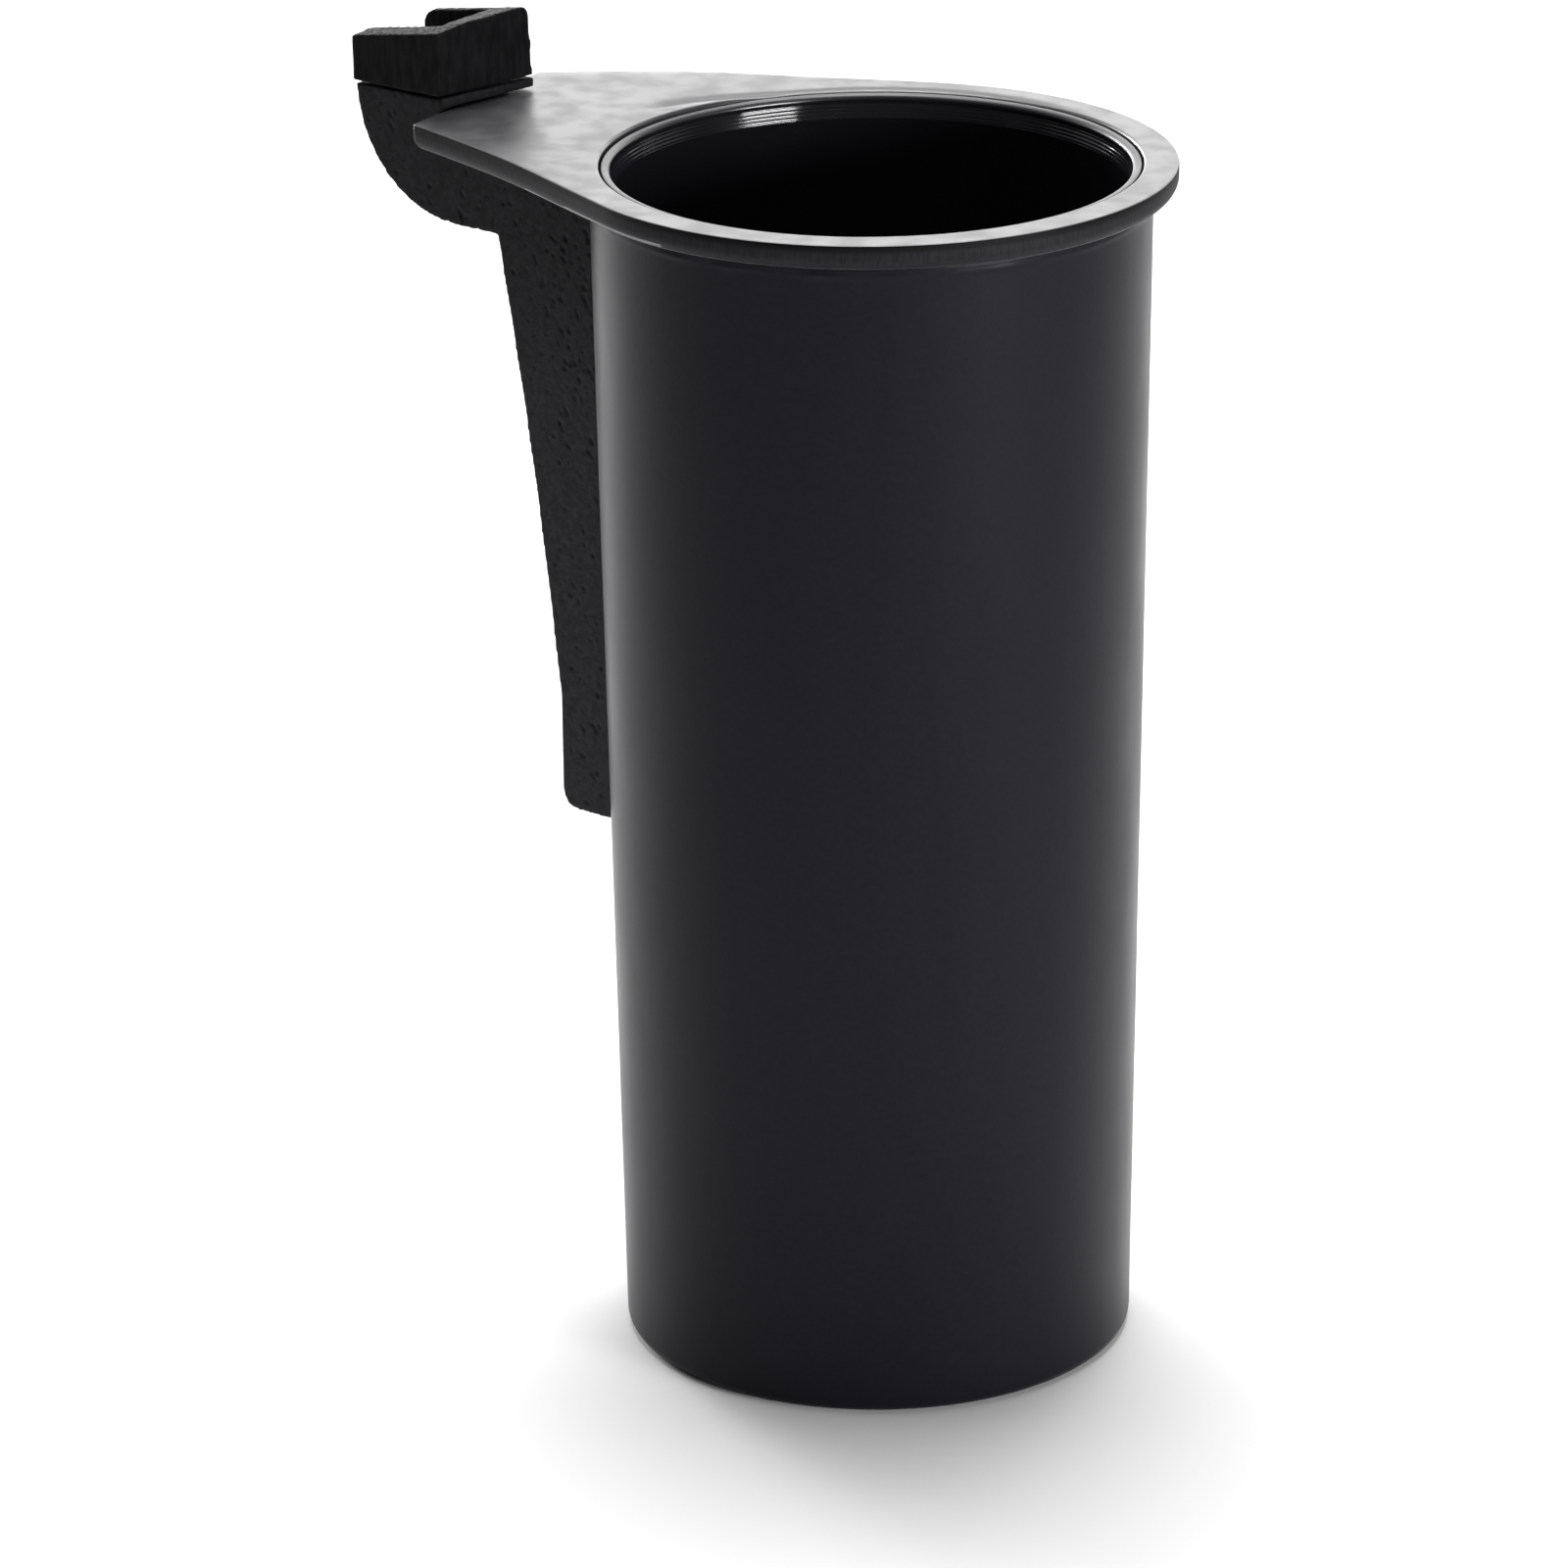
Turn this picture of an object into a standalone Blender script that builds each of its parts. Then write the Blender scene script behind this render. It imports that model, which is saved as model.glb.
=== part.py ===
"""Desk cup holder: a tapered pot hangs from a teardrop plate, a liner lifts out, a bracket hooks on."""
import math

import bmesh
import bpy
from mathutils import Matrix, Vector

# ---- driving dimensions (metres); origin at the centre of the pot's underside, arm towards -X ----
HEIGHT = 0.165                  # underside of the pot to the top of the plate
GAP = 0.0003                    # between pieces that touch
SEGMENTS = 96                   # round the pot

POT_R_TOP = 0.0373              # outer wall at the top
POT_R_BASE = 0.03475            # outer wall at the base
POT_WALL = 0.0014
POT_FLOOR = 0.0024
POT_FOOT = 0.0018               # rounding round the foot

PLATE_THICK = 0.0036
PLATE_R = 0.0405                # round part, about the pot's axis
PLATE_HOLE_R = 0.0359
PLATE_NEAR_R = -0.350           # the near side is slightly hollow
PLATE_FAR_R = 0.200             # and the far side bulges a little
PLATE_TIP = 0.0621              # distance of the tip's straight end from the pot's axis
PLATE_TIP_HALF = 0.0156
PLATE_TIP_ROUND = 0.0010
PLATE_TOP_EDGE = 0.0003         # the outer edge is crisp on top
PLATE_LOW_EDGE = 0.0019         # and well rounded underneath
PLATE_LIP = 0.0003              # chamfer round the mouth
PLATE_RISE = 0.0004             # the plate rises a little from the mouth to the tip
PLATE_RISE_SPAN = (0.025, 0.045)

LINER_TOP = HEIGHT - 0.00035    # the lip sits a little below the plate
LINER_R_TOP = 0.0356
LINER_R_BASE = 0.0329
LINER_WALL = 0.0012
LINER_FLOOR = 0.0016
LINER_LIP = 0.0005
LINER_FOOT = 0.003

BRACKET_PIVOT = (-0.0570, -0.0019)   # plan place of the bracket's own frame
BRACKET_YAW = math.radians(-7.9)     # the bracket is turned this much from the plate's axis
ARM_NEAR = 0.0072               # the bracket's two faces, from its pivot
ARM_FAR = -0.0093
ARM_FRONT = 0.0040              # outward distance of the arm's front face, above the plate
ARM_SKEW = 0.0020               # and how much further in that face is on the far side
ARM_BACK = 0.0195
ARM_TOP = 0.1671
ARM_CURVE_R = 0.0175            # quarter circle under the arm
ARM_UNDERSIDE = 0.1500
ARM_EDGE = 0.0004
RIB_TOP_OUT = -0.0053           # outward distance of the rib's outer edge, just under the arm
RIB_BOW = 0.0007                # how far that edge is hollowed
RIB_LOW_OUT = -0.0149
RIB_LOW_Z = 0.0863              # the rib runs straight down below this
RIB_BOTTOM = 0.0702
RIB_CORNER = 0.0025
RIB_REACH = -0.030              # past the pot's wall, before it is trimmed to it

TENON_OUT = (0.0095, 0.0175)    # peg on the arm that locates the jaw
TENON_SIDE = (0.0046, 0.0062)
TENON_TALL = 0.0034

JAW_BOTTOM = 0.1674
JAW_TOP = 0.1762                # at the near front corner
JAW_SLOPE = 0.165               # fall of the top towards the back
JAW_TILT = 0.015                # rise of the top towards the far side
JAW_STEP = 0.0005               # and this much more over a strip along the near side
JAW_STEP_WIDE = 0.0045
JAW_FRONT_NEAR = 0.0043         # the front is a little skewed in plan
JAW_FRONT_FAR = 0.0018
JAW_BACK_NEAR = 0.0199
JAW_BACK_FAR = 0.0186
JAW_NEAR = 0.0075
JAW_FAR = -0.0090
JAW_DRAFT = 0.0006              # the far side leans in this much at the top
JAW_WALL_NEAR = 0.0036
JAW_WALL_FAR = 0.0030
JAW_RECESS_FRONT = 0.0068       # outward distance of the recess's front wall
JAW_FLOOR = 0.1694
JAW_EDGE = 0.0006
JAW_ROUND = 0.0013              # rounding of the top on the far side and at the far wall's end

SCREW_Z = (0.100, 0.140)
SCREW_ANGLE = math.radians(184.7)    # plan direction from the pot's axis to the rib
SCREW_R = 0.0014
SCREW_HEAD_R = 0.0030
SCREW_HEAD_TALL = 0.0011
SCREW_LENGTH = 0.0066


# ---- helpers ----
def clear_scene():
    for obj in list(bpy.data.objects):
        bpy.data.objects.remove(obj, do_unlink=True)


def make_material(name, colour, roughness):
    material = bpy.data.materials.new(name)
    material.use_nodes = True
    shader = material.node_tree.nodes["Principled BSDF"]
    shader.inputs["Base Color"].default_value = (*colour, 1.0)
    shader.inputs["Roughness"].default_value = roughness
    shader.inputs["Metallic"].default_value = 0.0
    return material


def add_object(name, bm, material=None, sharp_angle=35.0):
    mesh = bpy.data.meshes.new(name)
    bmesh.ops.recalc_face_normals(bm, faces=bm.faces)
    bm.to_mesh(mesh)
    bm.free()
    mesh.shade_smooth()
    mesh.set_sharp_from_angle(angle=math.radians(sharp_angle))
    obj = bpy.data.objects.new(name, mesh)
    bpy.context.scene.collection.objects.link(obj)
    if material:
        mesh.materials.append(material)
    return obj


def cutter(name, bm):
    obj = add_object(name, bm)
    obj.hide_render = True
    obj.display_type = "WIRE"
    return obj


def cut(obj, tool, operation="DIFFERENCE"):
    modifier = obj.modifiers.new("with_" + tool.name, "BOOLEAN")
    modifier.operation = operation
    modifier.solver = "EXACT"
    modifier.object = tool


def soften(obj, width, segments=2, angle=30.0):
    modifier = obj.modifiers.new("soften", "BEVEL")
    modifier.width = width
    modifier.segments = segments
    modifier.limit_method = "ANGLE"
    modifier.angle_limit = math.radians(angle)
    modifier.use_clamp_overlap = True


def turned(profile, segments=SEGMENTS):
    """Solid of revolution about Z; profile is (radius, height), and radius 0 closes an end."""
    bm = bmesh.new()
    rings = []
    for radius, height in profile:
        if radius == 0.0:
            rings.append([bm.verts.new((0.0, 0.0, height))])
            continue
        angles = (math.tau * i / segments for i in range(segments))
        rings.append([bm.verts.new((radius * math.cos(a), radius * math.sin(a), height)) for a in angles])
    for low, high in zip(rings, rings[1:]):
        bridge(bm, low, high)
    return bm


def bridge(bm, first, second):
    count = max(len(first), len(second))
    for i in range(count):
        j = (i + 1) % count
        if len(first) == 1:
            bm.faces.new((first[0], second[j], second[i]))
        elif len(second) == 1:
            bm.faces.new((first[i], first[j], second[0]))
        else:
            bm.faces.new((first[i], first[j], second[j], second[i]))


def prism(outline, low, high):
    """Extrude a closed XY outline from height low to height high."""
    bm = bmesh.new()
    base = [bm.verts.new((x, y, low)) for x, y in outline]
    roof = [bm.verts.new((x, y, high)) for x, y in outline]
    bm.faces.new(list(reversed(base)))
    bm.faces.new(roof)
    bridge(bm, base, roof)
    return bm


def box(out, side, height):
    """Box in the bracket's frame; out runs outwards (-X), side runs towards -Y."""
    outline = [(-out[0], -side[0]), (-out[0], -side[1]), (-out[1], -side[1]), (-out[1], -side[0])]
    return prism(outline, height[0], height[1])


def stand_up(bm):
    """Turns a prism drawn as (outward, height) upright in the bracket's frame."""
    turn = Matrix(((-1, 0, 0, 0), (0, 0, -1, 0), (0, 1, 0, 0), (0, 0, 0, 1)))
    bmesh.ops.transform(bm, matrix=turn, verts=bm.verts)


def arc(centre, radius, start, end, steps):
    """Points on a circle from angle start to angle end, in degrees, both ends included."""
    angles = [math.radians(start + (end - start) * i / steps) for i in range(steps + 1)]
    return [(centre[0] + radius * math.cos(a), centre[1] + radius * math.sin(a)) for a in angles]


def taper(low, high, height):
    """Radius at a height on a wall that runs straight from low at 0 to high at the pot's top."""
    return low + (high - low) * height / HEIGHT


# ---- outlines ----
def plate_half(side_r, grow):
    """Half of the teardrop outline, from the mouth side to the tip; a negative side_r is hollow."""
    bend = math.copysign(1.0, side_r)
    reach = side_r - PLATE_R
    tip = Vector((PLATE_TIP, PLATE_TIP_HALF))
    aim = (side_r ** 2 - tip.length_squared - reach ** 2) / (2.0 * reach * tip.length)
    join = math.atan2(tip.y, tip.x) + math.acos(aim)
    centre = (-reach * math.cos(join), -reach * math.sin(join))
    turn = math.degrees(join)
    inset = PLATE_TIP_ROUND
    across = PLATE_TIP - inset - centre[0]
    along = bend * math.sqrt((side_r - inset) ** 2 - across ** 2)
    corner = Vector((PLATE_TIP - inset, centre[1] + along))
    corner_dir = math.degrees(math.atan2(bend * along, bend * across))
    half = arc((0.0, 0.0), PLATE_R + grow, 180.0, turn, 34)
    half += arc(centre, side_r + grow, turn, corner_dir, 14)[1:]
    half += arc(corner, inset + grow, corner_dir, 0.0, 5)[1:]
    return half + [(PLATE_TIP + grow, corner.y * step / 5.0) for step in (4, 3, 2, 1)]


def plate_outline(grow=0.0):
    """Teardrop outline, anticlockwise from the mouth side (+X); grow offsets it outwards."""
    near = plate_half(PLATE_NEAR_R, grow)
    far = [(x, -y) for x, y in reversed(plate_half(PLATE_FAR_R, grow)[1:])]
    return [(-x, -y) for x, y in near + [(PLATE_TIP + grow, 0.0)] + far]


def bracket_outline():
    """Side view of arm and rib as (outward, height)."""
    centre = (ARM_BACK - ARM_CURVE_R, ARM_UNDERSIDE + ARM_CURVE_R)
    points = [(ARM_FRONT, ARM_TOP), (ARM_BACK, ARM_TOP)]
    points += arc(centre, ARM_CURVE_R, -4.0, -90.0, 14)
    rib_run = RIB_LOW_OUT - RIB_TOP_OUT
    rib_drop = RIB_LOW_Z - ARM_UNDERSIDE
    for step in range(7):
        share = step / 6.0
        bow = RIB_BOW * math.sin(math.pi * share)
        points.append((RIB_TOP_OUT + rib_run * share - bow, ARM_UNDERSIDE + rib_drop * share))
    foot = (RIB_LOW_OUT - RIB_CORNER, RIB_BOTTOM + RIB_CORNER)
    points += arc(foot, RIB_CORNER, 0.0, -90.0, 4)
    under_plate = HEIGHT - PLATE_THICK - GAP
    points += [(RIB_REACH, RIB_BOTTOM), (RIB_REACH, under_plate), (ARM_FRONT, under_plate)]
    return points


def plate_rise(outward):
    """How far the plate has risen at a distance outwards from the pot's axis."""
    start, end = PLATE_RISE_SPAN
    share = min(1.0, max(0.0, (outward - start) / (end - start)))
    return PLATE_RISE * share * share * (3.0 - 2.0 * share)


# ---- pieces ----
def build_pot(material):
    top = HEIGHT - PLATE_THICK - GAP
    inner_top = taper(POT_R_BASE, POT_R_TOP, top) - POT_WALL
    profile = [(0.0, 0.0)]
    profile += [(POT_R_BASE - POT_FOOT + x, POT_FOOT + z) for x, z in arc((0, 0), POT_FOOT, -90, 0, 4)]
    profile += [(taper(POT_R_BASE, POT_R_TOP, top), top), (inner_top, top)]
    profile += [(POT_R_BASE - POT_WALL, POT_FLOOR), (0.0, POT_FLOOR)]
    pot = add_object("outer_pot", turned(profile), material)
    for z in SCREW_Z:
        cut(pot, screw_cutter("pot_hole_%d" % round(z * 1000), z))
    return pot


def build_liner(material):
    base = POT_FLOOR + GAP
    inner_r = LINER_R_TOP - LINER_WALL
    profile = [(0.0, base)]
    foot = arc((LINER_R_BASE - LINER_FOOT, base + LINER_FOOT), LINER_FOOT, -90, 0, 4)
    lip = arc((LINER_R_TOP - LINER_LIP, LINER_TOP - LINER_LIP), LINER_LIP, 0, 90, 2)
    mouth = arc((inner_r + LINER_LIP, LINER_TOP - LINER_LIP), LINER_LIP, 90, 180, 2)
    bowl_r = LINER_FOOT - LINER_WALL
    bowl = arc((LINER_R_BASE - LINER_FOOT, base + LINER_FLOOR + bowl_r), bowl_r, 0, -90, 4)
    profile += foot + lip + mouth[1:] + bowl + [(0.0, base + LINER_FLOOR)]
    return add_object("inner_cup", turned(profile), material)


def build_plate(material):
    low = HEIGHT - PLATE_THICK
    edge = arc((-PLATE_LOW_EDGE, low + PLATE_LOW_EDGE), PLATE_LOW_EDGE, -90, 0, 5)
    edge += arc((-PLATE_TOP_EDGE, HEIGHT - PLATE_TOP_EDGE), PLATE_TOP_EDGE, 0, 90, 2)
    rings = []
    bm = bmesh.new()
    for inward, z in edge:
        outline = plate_outline(inward)
        rings.append([bm.verts.new((x, y, z + plate_rise(-x))) for x, y in outline])
    mouth = [(PLATE_HOLE_R + PLATE_LIP, HEIGHT), (PLATE_HOLE_R, HEIGHT - PLATE_LIP), (PLATE_HOLE_R, low)]
    for radius, z in mouth:
        ring = []
        for vert in rings[0]:
            plan = Vector((vert.co.x, vert.co.y)).normalized() * radius
            ring.append(bm.verts.new((plan.x, plan.y, z)))
        rings.append(ring)
    for first, second in zip(rings, rings[1:] + rings[:1]):
        bridge(bm, first, second)
    return add_object("top_plate", bm, material)


def bracket_frame():
    frame = bpy.data.objects.new("bracket_frame", None)
    frame.location = (*BRACKET_PIVOT, 0.0)
    frame.rotation_euler = (0.0, 0.0, BRACKET_YAW)
    bpy.context.scene.collection.objects.link(frame)
    return frame


def build_bracket(frame, material):
    bm = prism(bracket_outline(), ARM_FAR, ARM_NEAR)
    stand_up(bm)
    for vert in bm.verts:
        if abs(vert.co.x + ARM_FRONT) < GAP and vert.co.y > 0.0:
            vert.co.x += ARM_SKEW
    bracket = add_object("bracket", bm, material)
    bracket.parent = frame
    soften(bracket, ARM_EDGE)
    tenon = box(TENON_OUT, TENON_SIDE, (ARM_TOP - ARM_EDGE, ARM_TOP + TENON_TALL))
    peg = cutter("tenon_shape", tenon)
    peg.parent = frame
    cut(bracket, peg, "UNION")
    clear = GAP + taper(POT_R_BASE, POT_R_TOP, 0.0), GAP + taper(POT_R_BASE, POT_R_TOP, HEIGHT)
    cut(bracket, cutter("pot_space", turned([(0, 0), (clear[0], 0), (clear[1], HEIGHT), (0, HEIGHT)])))
    slot = prism(plate_outline(GAP), HEIGHT - PLATE_THICK - GAP, HEIGHT + PLATE_RISE + GAP)
    cut(bracket, cutter("plate_space", slot))
    for z in SCREW_Z:
        cut(bracket, screw_cutter("rib_hole_%d" % round(z * 1000), z))
    return bracket


def jaw_height(out, side):
    """Height of the jaw's top, which slopes to the back and steps down along the near side."""
    inward = JAW_NEAR - side
    step = JAW_STEP * min(1.0, inward / JAW_STEP_WIDE)
    return JAW_TOP + step + JAW_TILT * inward - JAW_SLOPE * (out - JAW_FRONT_NEAR)


def jaw_shell():
    share = JAW_STEP_WIDE / (JAW_NEAR - JAW_FAR)
    front_step = JAW_FRONT_NEAR + (JAW_FRONT_FAR - JAW_FRONT_NEAR) * share
    back_step = JAW_BACK_NEAR + (JAW_BACK_FAR - JAW_BACK_NEAR) * share
    rows = [(JAW_NEAR, JAW_FRONT_NEAR, JAW_BACK_NEAR), (JAW_NEAR - JAW_STEP_WIDE, front_step, back_step)]
    rows += [(JAW_FAR, JAW_FRONT_FAR, JAW_BACK_FAR)]
    bm = bmesh.new()
    loops = []
    for side, front, back in rows:
        lean = JAW_DRAFT if side == JAW_FAR else 0.0
        low = [bm.verts.new((-out, -side, JAW_BOTTOM)) for out in (front, back)]
        high = [bm.verts.new((-out, -side - lean, jaw_height(out, side))) for out in (back, front)]
        loops.append(low + high)
    bm.faces.new(loops[0])
    bm.faces.new(reversed(loops[-1]))
    for first, second in zip(loops, loops[1:]):
        bridge(bm, first, second)
    far_top = bm.edges.get((loops[-1][2], loops[-1][3]))
    bmesh.ops.bevel(bm, geom=[far_top], offset=JAW_ROUND, segments=4, profile=0.5, affect="EDGES")
    return bm


def jaw_end():
    """Rounds off the back end of the far wall."""
    top = jaw_height(JAW_BACK_FAR, JAW_FAR)
    past = JAW_ROUND * 2.0
    outline = arc((JAW_BACK_FAR - JAW_ROUND, top - JAW_ROUND), JAW_ROUND, 0, 90, 5)
    outline += [(JAW_BACK_FAR - JAW_ROUND, top + past), (JAW_BACK_FAR + past, top + past)]
    outline += [(JAW_BACK_FAR + past, top - JAW_ROUND)]
    bm = prism(outline, JAW_FAR - JAW_ROUND, JAW_FAR + JAW_WALL_FAR + JAW_DRAFT)
    stand_up(bm)
    return bm


def jaw_recess():
    out = (JAW_RECESS_FRONT, JAW_BACK_NEAR * 2.0)
    side = (JAW_FAR + JAW_WALL_FAR, JAW_NEAR - JAW_WALL_NEAR)
    return box(out, side, (JAW_FLOOR, JAW_TOP * 1.1))


def build_jaw(frame, material):
    jaw = add_object("jaw_pad", jaw_shell(), material)
    jaw.parent = frame
    for name, bm in (("jaw_recess", jaw_recess()), ("jaw_end", jaw_end())):
        tool = cutter(name, bm)
        tool.parent = frame
        cut(jaw, tool)
    soften(jaw, JAW_EDGE)
    grown = [(low - GAP, high + GAP) for low, high in (TENON_OUT, TENON_SIDE)]
    socket = cutter("tenon_socket", box(*grown, (ARM_UNDERSIDE, ARM_TOP + TENON_TALL + GAP)))
    socket.parent = frame
    cut(jaw, socket)
    return jaw


def screw_axis(z):
    """Matrix that lays a shape turned about +Z along the screw's own direction, at the pot's wall."""
    start = taper(POT_R_BASE, POT_R_TOP, z) - POT_WALL
    plan = Matrix.Rotation(SCREW_ANGLE, 4, "Z")
    return plan @ Matrix.Translation((start, 0.0, z)) @ Matrix.Rotation(math.radians(90.0), 4, "Y")


def screw_cutter(name, z):
    shank = SCREW_R + GAP
    head = SCREW_HEAD_R + GAP
    deep = SCREW_LENGTH + GAP * 2.0
    profile = [(0, -0.004), (head, -0.004), (head, 0.0), (shank, SCREW_HEAD_TALL), (shank, deep), (0, deep)]
    bm = turned(profile, 24)
    bmesh.ops.transform(bm, matrix=screw_axis(z), verts=bm.verts)
    return cutter(name, bm)


def build_screw(name, z, material):
    profile = [(0, GAP), (SCREW_HEAD_R - GAP, GAP), (SCREW_R, SCREW_HEAD_TALL)]
    profile += [(SCREW_R, SCREW_LENGTH - SCREW_R), (0, SCREW_LENGTH)]
    screw = add_object(name, turned(profile, 24), material)
    screw.matrix_world = screw_axis(z)
    return screw


def main():
    clear_scene()
    build_pot(make_material("pot_satin", (0.020, 0.020, 0.024), 0.38))
    build_plate(make_material("plate_satin", (0.022, 0.022, 0.025), 0.30))
    build_liner(make_material("liner_gloss", (0.008, 0.008, 0.009), 0.16))
    frame = bracket_frame()
    build_bracket(frame, make_material("bracket_matt", (0.018, 0.018, 0.020), 0.62))
    build_jaw(frame, make_material("jaw_rubber", (0.016, 0.016, 0.016), 0.80))
    steel = make_material("screw_steel", (0.42, 0.42, 0.43), 0.35)
    for name, z in zip(("bracket_screw_lower", "bracket_screw_upper"), SCREW_Z):
        build_screw(name, z, steel)


main()
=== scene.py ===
"""Looks of the desk cup holder: fine meshes, materials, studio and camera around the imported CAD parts.

Lengths are in metres in the row frame: +Z is up, the pot's axis is the Z axis, and the plate's
tip, with the arm and the jaw, points along -X.
"""
import math

import bmesh
import bpy
from mathutils import Matrix, Vector, noise


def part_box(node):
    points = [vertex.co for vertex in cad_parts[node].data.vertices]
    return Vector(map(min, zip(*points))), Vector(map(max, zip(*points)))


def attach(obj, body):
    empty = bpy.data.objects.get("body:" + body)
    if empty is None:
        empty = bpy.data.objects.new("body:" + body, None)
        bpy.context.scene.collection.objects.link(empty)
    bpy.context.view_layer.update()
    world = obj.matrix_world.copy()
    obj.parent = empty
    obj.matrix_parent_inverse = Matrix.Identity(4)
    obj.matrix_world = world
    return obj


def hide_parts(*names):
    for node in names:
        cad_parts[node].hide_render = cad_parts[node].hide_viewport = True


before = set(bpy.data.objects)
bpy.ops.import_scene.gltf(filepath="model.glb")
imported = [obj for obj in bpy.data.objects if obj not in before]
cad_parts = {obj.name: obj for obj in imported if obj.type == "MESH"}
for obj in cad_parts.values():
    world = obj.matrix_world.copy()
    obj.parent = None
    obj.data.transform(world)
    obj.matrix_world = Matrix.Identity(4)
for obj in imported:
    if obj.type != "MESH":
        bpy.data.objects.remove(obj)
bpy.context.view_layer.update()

MM = 0.001

# ---- sizes that the CAD nodes give ----
POT_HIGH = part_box("outer_pot")[1]
PLATE_LOW, PLATE_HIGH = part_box("top_plate")
CUP_LOW, CUP_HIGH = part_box("inner_cup")
JAW_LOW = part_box("jaw_pad")[0]
PLATE_THICK = 3.6 * MM                    # at the mouth, where the plate has not risen yet
HEIGHT = PLATE_LOW.z + PLATE_THICK
CUP_TOP = CUP_HIGH.z
POT_TOP = POT_HIGH.z
POT_R_TOP = POT_HIGH.x
CUP_R_TOP = CUP_HIGH.x
PLATE_R = PLATE_HIGH.x
PLATE_TIP = -PLATE_LOW.x
PLATE_UNDER = PLATE_LOW.z
PLATE_RISE = PLATE_HIGH.z - HEIGHT

# ---- pot ----
ROUND_STEPS = 224                         # segments round the pot and the inner cup
POT_R_BASE = 34.75 * MM
POT_WALL = 1.4 * MM
POT_FLOOR = 2.4 * MM
POT_FOOT = 1.8 * MM
POT_HOLLOW = 0.25 * MM                    # how far the middle of the underside lies up
POT_HOLLOW_SHARES = (0.80, 0.81)          # where the hollow ends, as shares of the base radius
POT_NECK = 3.0 * MM                       # the wall stands nearly upright this far below the rim
POT_NECK_IN = 0.10 * MM
POT_RIM_IN = 0.04 * MM
POT_EDGE = 0.35 * MM
POT_WAVE = 0.035 * MM                     # how far the moulded wall wanders
POT_BEAD = 0.10 * MM                      # uneven bead under the plate
POT_BEAD_DROP = 1.1 * MM
POT_BEAD_HALF = 0.35 * MM

# ---- plate ----
PLATE_NEAR_R = -350.0 * MM                # flank on the -Y side, slightly hollow
PLATE_FAR_R = 200.0 * MM                  # flank on the +Y side, slightly full
PLATE_TIP_HALF = 15.6 * MM
PLATE_TIP_ROUND = 1.0 * MM
PLATE_TOP_EDGE = 0.28 * MM
PLATE_LOW_EDGE = 1.9 * MM
PLATE_RISE_SPAN = (25.0 * MM, 45.0 * MM)
PLATE_HOLE_R = 35.9 * MM
PLATE_HOLE_EDGE = 0.2 * MM
PLATE_LIP = 0.3 * MM                      # the face rolls down by this much into the mouth
PLATE_LIP_WIDE = 0.35 * MM
PLATE_LIP_SHARES = (0.0, 0.2, 0.4, 0.6, 0.8, 1.0)
PLATE_RING_SHARES = (0.86, 0.68, 0.5, 0.36, 0.26, 0.20, 0.16, 0.12, 0.08, 0.04)
PLATE_RING_STEP = 0.3 * MM                # rings of the face beside the mouth
PLATE_RING_FIRST = 0.2 * MM
PLATE_RING_COUNT = 11
PLATE_UNEVEN = 0.012 * MM
PLATE_DIP = 0.34 * MM                     # shallow dip beside the far side of the mouth
PLATE_DIP_R = (35.8 * MM, 39.2 * MM)
PLATE_DIP_HALF = 0.9 * MM
PLATE_DIP_START = (55.0, 90.0)            # degrees round the mouth
PLATE_DIP_DRIFT = (136.0, 170.0)
PLATE_DIP_END = (164.0, 173.0)
PLATE_SIDE_SLOPE = 0.80                   # faces steeper than this belong to the plate's cut side
PLATE_SIDE_FROM = 2.0 * MM                # and lie at least this far outside the mouth
PLATE_LINE_X = -8.0 * MM                  # the cut side starts higher on the side of the tip
PLATE_LINE_TIP = 0.45
PLATE_LINE_ROUND = 0.15

# ---- inner cup ----
CUP_R_BASE = 32.9 * MM
CUP_WALL = 1.2 * MM
CUP_FLOOR = 1.6 * MM
CUP_FOOT = 3.0 * MM
CUP_LIP = 0.25 * MM                       # rounding of the lip, outside
CUP_LIP_IN = 0.72 * MM                    # rounding of the lip, inside
CUP_BAND_TOP = 1.2 * MM                   # sloping band below the lip
CUP_BAND_TALL = 1.9 * MM
CUP_BAND_IN = 0.50 * MM
CUP_BAND_TAIL = 0.4 * MM
CUP_BAND_STEPS = 48
CUP_RIDGE = 0.012 * MM
CUP_RIDGES = 4.0

# ---- bracket, jaw and screws ----
BRACKET_VOXEL = 0.26 * MM
JAW_VOXEL = 0.24 * MM
PIT_DEPTH = 0.20 * MM
PIT_SIZE = 0.60 * MM
PIT_HEIGHTS = (95.0 * MM, 150.0 * MM)     # pits crowd together from the first height to the second
PIT_RADII = (48.0 * MM, 41.0 * MM)        # and from the first radius in to the second
PIT_EDGE = (0.62, 0.80)                   # noise values where a pit starts and is full
PIT_CROWD = (0.34, 0.28)                  # how far these values fall where pits are crowded
BRACKET_UNEVEN = 0.008 * MM
JAW_DENT = 0.05 * MM
JAW_STREAK = 0.03 * MM
JAW_CRUMB = 0.05 * MM
SCREW_ANGLE = math.radians(184.7)
SCREW_R = 1.4 * MM
SCREW_HEAD_R = 2.7 * MM
SCREW_HEAD_EDGE = 0.15 * MM
SCREW_PITCH = 0.6 * MM
SCREW_CORE = 0.78                         # radius between the threads, as a share of SCREW_R
SCREW_RECESS = 0.55 * MM
SCREW_RECESS_R = (0.9 * MM, 1.1 * MM)
SCREW_CROSS = 0.45

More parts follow.
